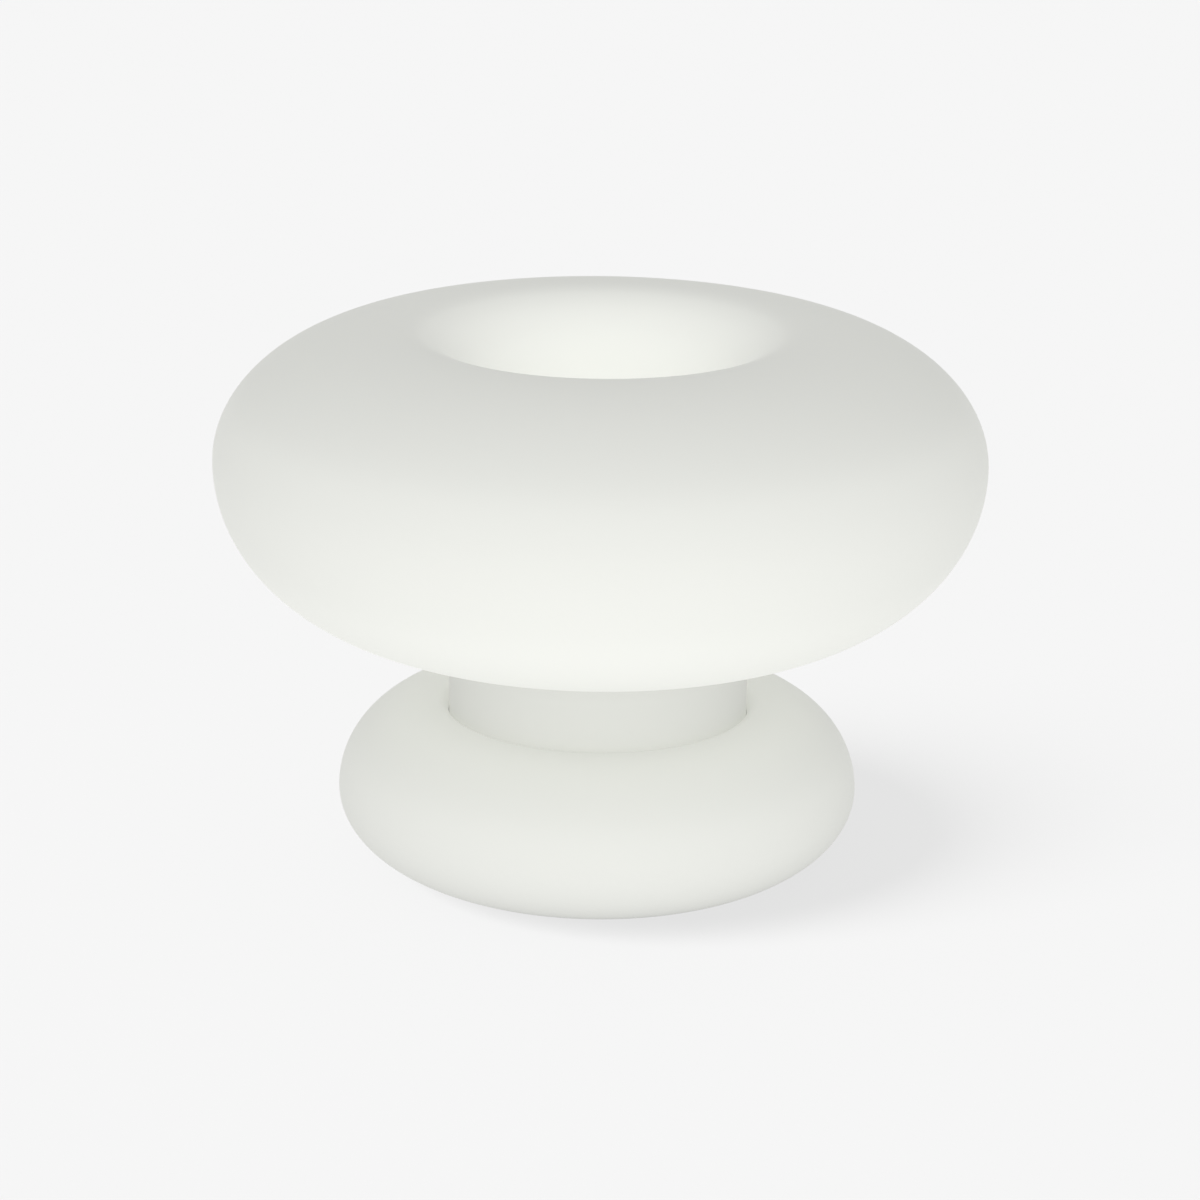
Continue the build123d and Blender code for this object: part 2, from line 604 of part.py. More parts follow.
def port_screws():
    """Two small screws through the plate into the pocket's floor."""
    screws = []
    for x in (-PORT_SCREW_X, PORT_SCREW_X):
        head = rearward(Circle(1.9), PORT_FLOOR + 2, PORT_FLOOR + 3.2, x)
        shank = rearward(Circle(1.0), PORT_FLOOR - WALL - 2, PORT_FLOOR + 2, x)
        drive = rearward(RegularPolygon(0.9, 6), PORT_FLOOR + 2.6, PORT_FLOOR + 3.2, x)
        screws.append(head + shank - drive)
    return screws


def port_board():
    """Small board inside the can's rear edge."""
    return rearward(Circle(PORT_CAN_BORE - 0.1), PORT_CAN_BACK + 1, PORT_CAN_BACK + 1 + BOARD_THICK)


def usb_socket():
    """USB-C receptacle: a drawn metal shell round a tongue."""
    back = PORT_CAN_BACK + 1 + BOARD_THICK
    front = PLATE_FRONT - 1
    shell = rearward(SlotOverall(USB_WIDTH, USB_THICK), back, front, z=USB_Z)
    shell -= rearward(SlotOverall(USB_WIDTH - 0.6, USB_THICK - 0.6), back + 2, front, z=USB_Z)
    return shell + rearward(Rectangle(6.7, 0.7), back + 1.5, front - 0.8, z=USB_Z)


def tact_switch():
    """Push switch on the port board, behind the button."""
    back = PORT_CAN_BACK + 1 + BOARD_THICK
    body = rearward(Rectangle(6, 6), back, back + 3.5, z=BUTTON_Z)
    body = chamfer(body.edges().filter_by(Axis.Y), 0.5)
    return body + rearward(Circle(1.7), back + 3.5, back + 4, z=BUTTON_Z)


def power_button():
    """Round cap with a retaining flange and a plunger that reaches for the switch."""
    flange_front = PORT_FLOOR - 0.1
    cap = rearward(Circle(BUTTON_RADIUS), flange_front, PLATE_FRONT + 1.5, z=BUTTON_Z)
    cap = fillet(cap.edges().group_by(Axis.Y)[-1], 0.7)
    cap += rearward(Circle(BUTTON_RADIUS + 0.5), flange_front - 1.5, flange_front, z=BUTTON_Z)
    switch_top = PORT_CAN_BACK + 1 + BOARD_THICK + 4
    return cap + rearward(Circle(1.5), switch_top + BUTTON_TRAVEL + 0.1, flange_front - 1.5, z=BUTTON_Z)


def port_flap():
    """Cover of the charging socket, hung on its pin."""
    low = USB_Z - 4.3
    half = FLAP_WIDTH / 2
    hinge = Pos(0, FLAP_PIN_Y, FLAP_PIN_Z) * Rot(0, 90, 0)
    flap = block((-half, half), (PLATE_FRONT + 0.3, PLATE_FRONT + 1.7), (low, FLAP_PIN_Z))
    flap = fillet(flap.edges().filter_by(Axis.Y).group_by(Axis.Z)[0], 2) + hinge * Cylinder(1.1, FLAP_WIDTH)
    flap += block((-2.5, 2.5), (PLATE_FRONT + 1.5, PLATE_FRONT + 2.4), (low + 0.4, low + 1.4))
    return flap - hinge * Cylinder(FLAP_PIN_RADIUS + 0.05, 30)


def flap_pin():
    """Steel pin through both ears and the flap."""
    return Pos(0, FLAP_PIN_Y, FLAP_PIN_Z) * Rot(0, 90, 0) * Cylinder(FLAP_PIN_RADIUS, 17.6)


PIECES = (
    shade_shell, base_shell, seat_ring, bottom_pan, foot_ring, pan_screws, ballast_plate, ballast_screws,
    battery_tray, battery_cells, battery_straps, cell_links, driver_board, board_standoffs, board_screws,
    driver_chips, driver_coil, driver_capacitors, lead_sockets, inner_cover, cover_grommet, stem_stud,
    stem_nut, stem_tube, stem_collar, collar_screw, heat_sink, led_board, led_chips, led_screws, led_plug,
    light_dome, dome_screws, lamp_lead, port_lead, battery_lead, port_housing, port_gasket, port_screws,
    port_board, usb_socket, tact_switch, power_button, port_flap, flap_pin,
)

os.makedirs("parts", exist_ok=True)
for piece in PIECES:
    shape = piece()
    solids = shape if isinstance(shape, list) else [shape]
    whole = Compound(children=[s for item in solids for s in item.solids()])
    export_step(whole, f"parts/{piece.__name__}.step")
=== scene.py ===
from math import atan, cos, pi, radians, sin, tan

import bmesh
import bpy
from mathutils import Euler, Matrix, Vector


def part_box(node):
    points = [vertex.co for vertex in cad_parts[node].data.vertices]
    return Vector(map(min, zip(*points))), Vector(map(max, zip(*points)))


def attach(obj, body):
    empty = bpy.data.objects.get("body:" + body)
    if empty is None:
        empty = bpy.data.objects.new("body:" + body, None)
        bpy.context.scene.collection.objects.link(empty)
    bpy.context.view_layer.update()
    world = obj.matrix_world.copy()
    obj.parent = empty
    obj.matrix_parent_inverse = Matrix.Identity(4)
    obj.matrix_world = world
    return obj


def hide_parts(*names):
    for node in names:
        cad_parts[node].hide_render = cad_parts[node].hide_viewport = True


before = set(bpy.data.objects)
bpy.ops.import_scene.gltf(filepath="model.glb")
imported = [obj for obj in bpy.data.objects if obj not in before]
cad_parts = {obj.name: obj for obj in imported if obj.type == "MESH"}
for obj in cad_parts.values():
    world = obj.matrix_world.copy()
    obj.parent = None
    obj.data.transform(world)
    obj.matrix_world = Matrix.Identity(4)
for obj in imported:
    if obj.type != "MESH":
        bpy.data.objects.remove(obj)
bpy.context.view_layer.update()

# ---- Camera ----
# A long lens a little above the lamp, at the photograph's angle. The picture is square.
LOOK_AT = Vector((0.0, 0.0, 0.1064))
DISTANCE = 1.3643
RISE = radians(18.3)
ROLL = 0.0109
camera_data = bpy.data.cameras.new("Camera")
camera_data.lens = 103.92
camera_data.sensor_width = 36.0
camera_data.shift_x = 0.000875
camera = bpy.data.objects.new("Camera", camera_data)
bpy.context.scene.collection.objects.link(camera)
camera.location = LOOK_AT + DISTANCE * Vector((0.0, -cos(RISE), sin(RISE)))
camera.rotation_euler = (Euler((pi / 2 - RISE, 0.0, 0.0)).to_matrix()
                         @ Matrix.Rotation(ROLL, 3, "Z")).to_euler()
bpy.context.scene.camera = camera


# ---- Floor, light and air ----
# A seamless pale studio sweep of matt paper: floor and air read as one even near-white, and the
# floor darkens only where the base stands in the way of the light from the left.
def linear(code):
    """An sRGB colour as written in hex, as linear red, green, blue and alpha."""
    parts = [int(code[i:i + 2], 16) / 255 for i in (0, 2, 4)]
    return tuple(c / 12.92 if c <= 0.04045 else ((c + 0.055) / 1.055) ** 2.4 for c in parts) + (1.0,)


def add(tree, kind, values=None, links=None, **properties):
    """Adds a node to a tree, sets its properties and sockets, and links what feeds it."""
    made = tree.nodes.new(kind)
    for name, value in properties.items():
        setattr(made, name, value)
    for socket, value in (values or {}).items():
        made.inputs[socket].default_value = value
    for socket, (source, output) in (links or {}).items():
        tree.links.new(source.outputs[output], made.inputs[socket])
    return made


def blank(name):
    """A material whose tree holds nothing yet."""
    material = bpy.data.materials.new(name)
    material.use_nodes = True
    material.node_tree.nodes.clear()
    return material


def in_scene(name, mesh):
    """A new object of a mesh, in the scene."""
    made = bpy.data.objects.new(name, mesh)
    bpy.context.scene.collection.objects.link(made)
    return made


def seen_level(tree, unseen, seen):
    """One value for the camera, for reflections and through glass, and another for all other rays."""
    path = add(tree, "ShaderNodeLightPath")
    direct = add(tree, "ShaderNodeMath", {}, {0: (path, "Is Camera Ray"), 1: (path, "Is Glossy Ray")},
                 operation="MAXIMUM")
    either = add(tree, "ShaderNodeMath", {}, {0: (direct, 0), 1: (path, "Is Transmission Ray")},
                 operation="MAXIMUM")
    return add(tree, "ShaderNodeMapRange", {"To Min": unseen, "To Max": seen}, {"Value": (either, 0)})


AIR = linear("F6F6F6")
FLOOR_HALF = 7.0
paper = blank("paper_sweep_matt")
tree = paper.node_tree
level = seen_level(tree, unseen=0.634, seen=0.80)
even = add(tree, "ShaderNodeEmission", {"Color": AIR}, {"Strength": (level, 0)})
matt = add(tree, "ShaderNodeBsdfDiffuse", {"Color": linear("3F3F3F")})
both = add(tree, "ShaderNodeAddShader", {}, {0: (even, 0), 1: (matt, 0)})
add(tree, "ShaderNodeOutputMaterial", {}, {"Surface": (both, 0)})
floor_mesh = bpy.data.meshes.new("Floor")
floor_mesh.from_pydata([(x, y, 0.0) for x, y in ((-FLOOR_HALF, -FLOOR_HALF), (FLOOR_HALF, -FLOOR_HALF),
                                                 (FLOOR_HALF, FLOOR_HALF), (-FLOOR_HALF, FLOOR_HALF))],
                       [], [(0, 1, 2, 3)])
floor_mesh.materials.append(paper)
floor = in_scene("Floor", floor_mesh)

world = bpy.data.worlds.new("Air")
world.use_nodes = True
bpy.context.scene.world = world
tree = world.node_tree
tree.nodes.clear()
level = seen_level(tree, unseen=0.5, seen=1.0)
air = add(tree, "ShaderNodeBackground", {"Color": AIR}, {"Strength": (level, 0)})
add(tree, "ShaderNodeOutputWorld", {}, {"Surface": (air, 0)})


def soft_sun(name, azimuth, elevation, strength, width):
    """A wide far light from that side (0 is the front, 90 the right) and height, in degrees."""
    data = bpy.data.lights.new(name, "SUN")
    data.energy = strength
    data.angle = radians(width)
    made = bpy.data.objects.new(name, data)
    bpy.context.scene.collection.objects.link(made)
    side, rise = radians(azimuth), radians(elevation)
    towards = Vector((sin(side) * cos(rise), -cos(side) * cos(rise), sin(rise)))
    made.rotation_euler = towards.to_track_quat("Z", "Y").to_euler()
    return made


soft_sun("Front_softbox", azimuth=0, elevation=10, strength=0.6, width=50)
soft_sun("Top_softbox", azimuth=0, elevation=89, strength=0.966, width=70)
soft_sun("Rear_left_softbox", azimuth=-135, elevation=40, strength=0.2, width=70)
# This one lights only the floor and is blocked only by the base, for the soft shadow at its foot.
left_sun = soft_sun("Left_sun", azimuth=-62, elevation=28, strength=19.0, width=36)
left_sun.light_linking.receiver_collection = bpy.data.collections.new("Lit_from_left")
left_sun.light_linking.receiver_collection.objects.link(floor)
left_sun.light_linking.blocker_collection = bpy.data.collections.new("Shades_from_left")

bpy.context.scene.view_settings.view_transform = "Standard"

# ---- Base shell ----
# The flattened round base: one rotationally moulded opal shell, 3 mm thick, with a rolled lip round
# the neck's socket. A round flat-floored pocket at the rear takes the switch and charging port.
STEPS_AROUND = 256
POST_STEPS = 48
CUT_STEPS = 96
DOUBLES = 2e-6
DRAWING_RADIUS = 0.2
PART_SHARP = 32
WALL = 0.003
base_low, base_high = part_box("base_shell")
BASE_RADIUS = base_high[0]
BASE_TOP = base_high[2]
SHELL_BOTTOM = base_low[2]
BASE_BELT = 0.0305
BASE_CROWN_RING = 0.064
FOOT_CIRCLE = 0.058
SOCKET_RADIUS = 0.0595
SEAT_LEDGE = 0.057
COLLAR_BORE = 0.057
COLLAR_FOOT = 0.044
PAN_RECESS = 0.0565
PAN_TOP = 0.0045
LEDGE_BORE = 0.0465
LEDGE_OUTER = 0.068
LEDGE_GAP = 0.0003
PORT_HEIGHT = 0.0305
PORT_FLOOR = 0.090
POCKET_RADIUS = 0.018
CAN_HOLE_RADIUS = 0.0125
CUT_BEYOND = 0.005
CUT_OVERLAP = 0.001
PAN_SCREW_COUNT = 6
PAN_SCREW_START = 30
PAN_SCREW_RING = 0.051
BOSS_RADIUS = 0.004
BOSS_HEIGHT = 0.010
BOSS_BORE = 0.00155
BOSS_HOLE = 0.008


def arc(centre, width, height, start, end, steps=24):
    """Points along part of an ellipse, as (radius, height), between two angles in degrees."""
    turns = [radians(start + (end - start) * i / steps) for i in range(steps + 1)]
    return [(centre[0] + width * cos(t), centre[1] + height * sin(t)) for t in turns]


def turning_tree():
    """Geometry nodes that turn an outline drawn in the XZ plane round the lamp's axis."""
    made = bpy.data.node_groups.new("Turned_on_axis", "GeometryNodeTree")
    for name, kind in (("Outline", "NodeSocketGeometry"), ("Steps around", "NodeSocketInt"),
                       ("Drawing radius", "NodeSocketFloat"), ("Finish", "NodeSocketMaterial")):
        made.interface.new_socket(name=name, in_out="INPUT", socket_type=kind)
    made.interface.new_socket(name="Turned", in_out="OUTPUT", socket_type="NodeSocketGeometry")
    given = add(made, "NodeGroupInput")
    outline = add(made, "GeometryNodeMeshToCurve", {}, {"Mesh": (given, "Outline")})
    spot = add(made, "GeometryNodeInputPosition")
    parts = add(made, "ShaderNodeSeparateXYZ", {}, {0: (spot, 0)})
    inward = add(made, "ShaderNodeMath", {}, {0: (parts, "X"), 1: (given, "Drawing radius")},
                 operation="SUBTRACT")
    down = add(made, "ShaderNodeMath", {1: -1.0}, {0: (parts, "Z")}, operation="MULTIPLY")
    flat = add(made, "ShaderNodeCombineXYZ", {}, {"X": (inward, 0), "Y": (down, 0)})
    placed = add(made, "GeometryNodeSetPosition", {}, {"Geometry": (outline, 0), "Position": (flat, 0)})
    ring = add(made, "GeometryNodeCurvePrimitiveCircle", {},
               {"Resolution": (given, "Steps around"), "Radius": (given, "Drawing radius")})
    skin = add(made, "GeometryNodeCurveToMesh", {}, {"Curve": (ring, 0), "Profile Curve": (placed, 0)})
    closed = add(made, "GeometryNodeMergeByDistance", {"Distance": DOUBLES}, {"Geometry": (skin, 0)})
    real = add(made, "GeometryNodeRealizeInstances", {}, {"Geometry": (closed, 0)})
    done = add(made, "GeometryNodeSetMaterial", {}, {"Geometry": (real, 0), "Material": (given, "Finish")})
    add(made, "NodeGroupOutput", {}, {0: (done, 0)})
    return made


def settled(made):
    """Turns an object's modifiers into its plain mesh."""
    evaluated = made.evaluated_get(bpy.context.evaluated_depsgraph_get())
    result = bpy.data.meshes.new_from_object(evaluated)
    made.modifiers.clear()
    made.data = result
    result.name = made.name


def grown(name, mesh, tree, **sizes):
    """A plain mesh object of what a Geometry Nodes tree makes of a mesh with these named sizes."""
    made = in_scene(name, mesh)
    modifier = made.modifiers.new("Making", "NODES")
    modifier.node_group = tree
    for item in tree.interface.items_tree:
        key = item.name.replace(" ", "_").lower()
        if item.in_out == "INPUT" and key in sizes:
            modifier[item.identifier] = sizes[key]
    settled(made)
    return made


def outward(mesh, sharp=35):
    """Merges doubles, points the faces outwards and keeps the edges above an angle sharp."""
    work = bmesh.new()
    work.from_mesh(mesh)
    bmesh.ops.remove_doubles(work, verts=work.verts, dist=DOUBLES)
    bmesh.ops.recalc_face_normals(work, faces=work.faces)
    work.to_mesh(mesh)
    work.free()
    for face in mesh.polygons:
        face.use_smooth = True
    mesh.set_sharp_from_angle(angle=radians(sharp))


TURNING = turning_tree()


def turned(name, outline, finish, closed=False, along=None, steps=STEPS_AROUND):
    """A piece turned on the lamp's axis from an outline of (radius, height) points."""
    count = len(outline)
    edges = [(i, i + 1) for i in range(count - 1)] + ([(count - 1, 0)] if closed else [])
    drawing = bpy.data.meshes.new(name)
    drawing.from_pydata([(r, 0.0, z) for r, z in outline], edges, [])
    if along:
        drawing.attributes.new("along", "FLOAT", "POINT").data.foreach_set("value", along)
    made = grown(name, drawing, TURNING, steps_around=steps, drawing_radius=DRAWING_RADIUS,
                 finish=finish)
    outward(made.data)
    return made


def rearward(name, radius, start, end):
    """A round tool or plug along +Y at the port's height, from one Y to another."""
    work = bmesh.new()
    bmesh.ops.create_cone(work, cap_ends=True, segments=CUT_STEPS, radius1=radius, radius2=radius,
                          depth=end - start)
    bmesh.ops.rotate(work, verts=work.verts, matrix=Matrix.Rotation(pi / 2, 3, "X"))
    bmesh.ops.translate(work, verts=work.verts, vec=(0.0, (start + end) / 2, PORT_HEIGHT))
    mesh = bpy.data.meshes.new(name)
    work.to_mesh(mesh)
    work.free()
    return in_scene(name, mesh)


def carve(made, other, operation):
    """Joins, cuts or keeps the overlap of a piece with another, which is used up."""
    modifier = made.modifiers.new("Carving", "BOOLEAN")
    modifier.object = other
    modifier.operation = operation
    modifier.solver = "EXACT"
    settled(made)
    bpy.data.objects.remove(other)


def ring_tree():
    """Geometry nodes that set copies of a part evenly on a circle about the lamp's axis."""
    made = bpy.data.node_groups.new("Set_on_a_ring", "GeometryNodeTree")
    for name, kind in (("Part", "NodeSocketGeometry"), ("Count", "NodeSocketInt"),
                       ("Start turn", "NodeSocketFloat"), ("Finish", "NodeSocketMaterial")):
        made.interface.new_socket(name=name, in_out="INPUT", socket_type=kind)
    made.interface.new_socket(name="Ring", in_out="OUTPUT", socket_type="NodeSocketGeometry")
    given = add(made, "NodeGroupInput")
    places = add(made, "GeometryNodePoints", {}, {"Count": (given, "Count")})
    number = add(made, "GeometryNodeInputIndex")
    share = add(made, "ShaderNodeMath", {}, {0: (number, 0), 1: (given, "Count")}, operation="DIVIDE")
    angle = add(made, "ShaderNodeMath", {1: 2 * pi}, {0: (share, 0), 2: (given, "Start turn")},
                operation="MULTIPLY_ADD")
    turn = add(made, "ShaderNodeCombineXYZ", {}, {"Z": (angle, 0)})
    copies = add(made, "GeometryNodeInstanceOnPoints", {},
                 {"Points": (places, 0), "Instance": (given, "Part"), "Rotation": (turn, 0)})
    real = add(made, "GeometryNodeRealizeInstances", {}, {"Geometry": (copies, 0)})
    done = add(made, "GeometryNodeSetMaterial", {}, {"Geometry": (real, 0), "Material": (given, "Finish")})
    add(made, "NodeGroupOutput", {}, {0: (done, 0)})
    return made


RING = ring_tree()


def uprights(name, radius, low, high, distance, count, start):
    """Upright round posts or holes set evenly on a circle about the lamp's axis."""
    work = bmesh.new()
    bmesh.ops.create_cone(work, cap_ends=True, segments=POST_STEPS, radius1=radius, radius2=radius,
                          depth=high - low)
    bmesh.ops.translate(work, verts=work.verts, vec=(distance, 0.0, (low + high) / 2))
    mesh = bpy.data.meshes.new(name)
    work.to_mesh(mesh)
    work.free()
    return grown(name, mesh, RING, count=count, start_turn=radians(start))


# Opal polyethylene, rotationally moulded in a blasted mould: a soft matt white with a very fine
# grain and hardly any gloss, through which the light inside shows as a glow, a little green-white.
# The glow's brightness changes along the shell, and that change is partly painted light and shade.
# The grey-tinted coat is there for its look alone: it takes some light away where the
# surface is looked along, so that the edges of a lit shell read slightly darker.
GLOW_TINT = (1.0, 1.01, 0.965, 1.0)
EDGE_DARKENING_TINT = (0.86, 0.86, 0.86, 1.0)
OPAL_GRAIN = 1 / 0.00035


def opal(name, glow_and_painted_shade, height=None):
    """Lit opal shell. Its glow is a curve of (place, level): place along the outline, or share of Z. The
    curve is partly painted light and shade.
    """
    material = blank(name)
    tree = material.node_tree
    place = add(tree, "ShaderNodeTexCoord")
    grain = add(tree, "ShaderNodeTexNoise", {"Scale": OPAL_GRAIN, "Detail": 2.0},
                {"Vector": (place, "Object")})
    bump = add(tree, "ShaderNodeBump", {"Strength": 0.12, "Distance": 0.00004}, {"Height": (grain, 0)})
    if height:
        parts = add(tree, "ShaderNodeSeparateXYZ", {}, {0: (place, "Object")})
        share = add(tree, "ShaderNodeMath", {1: 1 / height}, {0: (parts, "Z")}, operation="MULTIPLY")
    else:
        share = add(tree, "ShaderNodeAttribute", attribute_name="along")
    # The emission follows the glow curve: lamp light through the wall, partly painted light and shade.
    level = add(tree, "ShaderNodeFloatCurve", {}, {"Value": (share, "Value" if height else "Fac")})
    curve = level.mapping.curves[0]
    curve.points[0].location = glow_and_painted_shade[0]
    curve.points[1].location = glow_and_painted_shade[-1]
    for spot in glow_and_painted_shade[1:-1]:
        curve.points.new(*spot)
    for point in curve.points:
        point.handle_type = "AUTO_CLAMPED"
    level.mapping.update()
    skin = add(tree, "ShaderNodeBsdfPrincipled",
               {"Base Color": linear("DADBD6"), "Roughness": 0.7, "IOR": 1.5, "Specular IOR Level": 0.25,
                "Emission Color": GLOW_TINT, "Coat Weight": 1.0, "Coat Roughness": 0.9, "Coat IOR": 1.15,
                "Coat Tint": EDGE_DARKENING_TINT},
               {"Normal": (bump, 0), "Emission Strength": (level, 0)})
    add(tree, "ShaderNodeOutputMaterial", {}, {"Surface": (skin, 0)})
    return material


def base_outline(inset):
    """The base's outline from the lip's inner side over the crown and belt to the underside."""
    lip = BASE_CROWN_RING - SOCKET_RADIUS
    points = arc((BASE_CROWN_RING, BASE_TOP - lip), lip - inset, lip - inset, 180, 90, 10)
    points += arc((BASE_CROWN_RING, BASE_BELT), BASE_RADIUS - BASE_CROWN_RING - inset,
                  BASE_TOP - BASE_BELT - inset, 90, 0, 40)[1:]
    points += arc((FOOT_CIRCLE, BASE_BELT), BASE_RADIUS - FOOT_CIRCLE - inset,
                  BASE_BELT - SHELL_BOTTOM - inset, 0, -90, 40)[1:]
    return points


# Glow by share of height: lamp light through the wall, and partly painted light and shade. It fades to
# nothing over the lowest ten millimetres, which paints shade on the foot where the base meets the floor.
base_glow_and_painted_shade = [(0.0, 0.0), (0.076, 0.095), (0.152, 0.304), (0.242, 0.385), (0.333, 0.418), (0.485, 0.427),
             (0.636, 0.42), (0.818, 0.38), (1.0, 0.37)]
base_opal = opal("polyethylene_opal_moulded_base", base_glow_and_painted_shade, BASE_TOP)
ledge_top = PAN_TOP + WALL
hollow = [p for p in base_outline(WALL)[::-1] if p[1] > ledge_top + LEDGE_GAP]
outline = base_outline(0.0) + [
    (PAN_RECESS, SHELL_BOTTOM), (PAN_RECESS, PAN_TOP), (LEDGE_BORE, PAN_TOP), (LEDGE_BORE, ledge_top),
    (LEDGE_OUTER, ledge_top)] + hollow + [
    (SOCKET_RADIUS + WALL, SEAT_LEDGE - WALL), (COLLAR_BORE + WALL, SEAT_LEDGE - WALL),
    (COLLAR_BORE + WALL, COLLAR_FOOT), (COLLAR_BORE, COLLAR_FOOT), (COLLAR_BORE, SEAT_LEDGE),
    (SOCKET_RADIUS, SEAT_LEDGE)]
base = turned("Base", outline, base_opal, closed=True)
middle = WALL / 2
core = turned("Core", [(0.0, BASE_TOP - middle)] + base_outline(middle) + [(0.0, SHELL_BOTTOM + middle)],
              base_opal)
cup = rearward("Cup", POCKET_RADIUS + WALL, PORT_FLOOR - WALL, BASE_RADIUS + CUT_BEYOND)
cup.data.materials.append(base_opal)
carve(cup, core, "INTERSECT")
carve(base, cup, "UNION")
carve(base, rearward("Pocket", POCKET_RADIUS, PORT_FLOOR, BASE_RADIUS + CUT_BEYOND), "DIFFERENCE")
carve(base, rearward("Can_hole", CAN_HOLE_RADIUS, PORT_FLOOR - 2 * WALL, PORT_FLOOR + CUT_OVERLAP),
      "DIFFERENCE")
bosses = uprights("Bosses", BOSS_RADIUS, PAN_TOP, PAN_TOP + BOSS_HEIGHT, PAN_SCREW_RING,
                  PAN_SCREW_COUNT, PAN_SCREW_START)
bosses.data.materials.clear()
bosses.data.materials.append(base_opal)
carve(base, bosses, "UNION")
holes = uprights("Boss_holes", BOSS_BORE, PAN_TOP - CUT_OVERLAP, PAN_TOP + BOSS_HOLE, PAN_SCREW_RING,
                 PAN_SCREW_COUNT, PAN_SCREW_START)
carve(base, holes, "DIFFERENCE")
outward(base.data, 40)
left_sun.light_linking.blocker_collection.objects.link(base)
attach(base, "base")
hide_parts("base_shell")


# ---- Bottom pan, foot ring and screws ----
# A white ABS disc closes the base from below. A ribbed black rubber ring set in its groove is all
# that touches the table, and six small screws hold the pan up against the shell's ledge.
def moulded(name, code, roughness, grain_mm, depth_mm, mottle=0.04, ior=1.5, **sockets):
    """Moulded plastic, rubber or film: a fine surface grain of a real size and a faint mottle."""
    material = blank(name)
    tree = material.node_tree
    place = add(tree, "ShaderNodeTexCoord")
    grain = add(tree, "ShaderNodeTexNoise", {"Scale": 1000 / grain_mm, "Detail": 3.0},
                {"Vector": (place, "Object")})
    bump = add(tree, "ShaderNodeBump", {"Strength": 0.5, "Distance": depth_mm / 1000},
               {"Height": (grain, 0)})
    cloud = add(tree, "ShaderNodeTexNoise", {"Scale": 120.0, "Detail": 2.0}, {"Vector": (place, "Object")})
    shade = add(tree, "ShaderNodeMapRange", {"To Min": 1 - mottle, "To Max": 1 + mottle},
                {"Value": (cloud, 0)})
    colour = add(tree, "ShaderNodeVectorMath", {0: linear(code)[:3]}, {"Scale": (shade, 0)},
                 operation="SCALE")
    wear = add(tree, "ShaderNodeMapRange", {"To Min": roughness - 0.05, "To Max": roughness + 0.05},
               {"Value": (cloud, 0)})
    skin = add(tree, "ShaderNodeBsdfPrincipled", {"IOR": ior, **sockets},
               {"Base Color": (colour, 0), "Roughness": (wear, 0), "Normal": (bump, 0)})
    add(tree, "ShaderNodeOutputMaterial", {}, {"Surface": (skin, 0)})
    return material


def metal(name, code, roughness, grain_mm, depth_mm, stretch=(1.0, 1.0, 1.0)):
    """Bare or plated metal: a grain that dulls it in places, drawn out where it was turned or drawn."""
    material = blank(name)
    tree = material.node_tree
    place = add(tree, "ShaderNodeTexCoord")
    drawn = add(tree, "ShaderNodeMapping", {"Scale": stretch}, {"Vector": (place, "Object")})
    grain = add(tree, "ShaderNodeTexNoise", {"Scale": 1000 / grain_mm, "Detail": 4.0},
                {"Vector": (drawn, 0)})
    bump = add(tree, "ShaderNodeBump", {"Strength": 0.4, "Distance": depth_mm / 1000},
               {"Height": (grain, 0)})
    dull = add(tree, "ShaderNodeMapRange", {"To Min": roughness - 0.08, "To Max": roughness + 0.08},
               {"Value": (grain, 0)})
    skin = add(tree, "ShaderNodeBsdfPrincipled", {"Base Color": linear(code), "Metallic": 1.0},
               {"Roughness": (dull, 0), "Normal": (bump, 0)})
    add(tree, "ShaderNodeOutputMaterial", {}, {"Surface": (skin, 0)})
    return material


def carried(finish, *nodes):
    """Gives CAD nodes that stay as they are their finish."""
    for node in nodes:
        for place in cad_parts[node].material_slots:
            place.material = finish


def smoothed(name, node, body, finish):
    """A welded, smooth-shaded copy of a CAD node that stands for it."""
    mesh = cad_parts[node].data.copy()
    mesh.name = name
    mesh.materials.clear()
    mesh.materials.append(finish)
    for face in mesh.polygons:
        face.material_index = 0
    work = bmesh.new()
    work.from_mesh(mesh)
    bmesh.ops.remove_doubles(work, verts=work.verts, dist=DOUBLES)
    work.to_mesh(mesh)
    work.free()
    for face in mesh.polygons:
        face.use_smooth = True
    mesh.set_sharp_from_angle(angle=radians(PART_SHARP))
    made = in_scene(name, mesh)
    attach(made, body)
    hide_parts(node)


# ABS, injection moulded in a spark-eroded mould: an even, slightly cool white with a sandy 0.25 mm
# grain that spreads every highlight.
white_abs = moulded("ABS_white_spark_textured", "E0E0DC", 0.5, 0.25, 0.02)
# Natural rubber, compression moulded: near-black, almost no gloss, faintly dusty.
foot_rubber = moulded("rubber_black_moulded", "2A2A29", 0.85, 0.18, 0.02, mottle=0.12, ior=1.52)
# Bright zinc plate on turned steel: grey-silver with a slight blue and a soft gloss.
zinc = metal("steel_zinc_plated", "B9BCC0", 0.32, 0.12, 0.004)

smoothed("Bottom_pan", "bottom_pan", "base", white_abs)

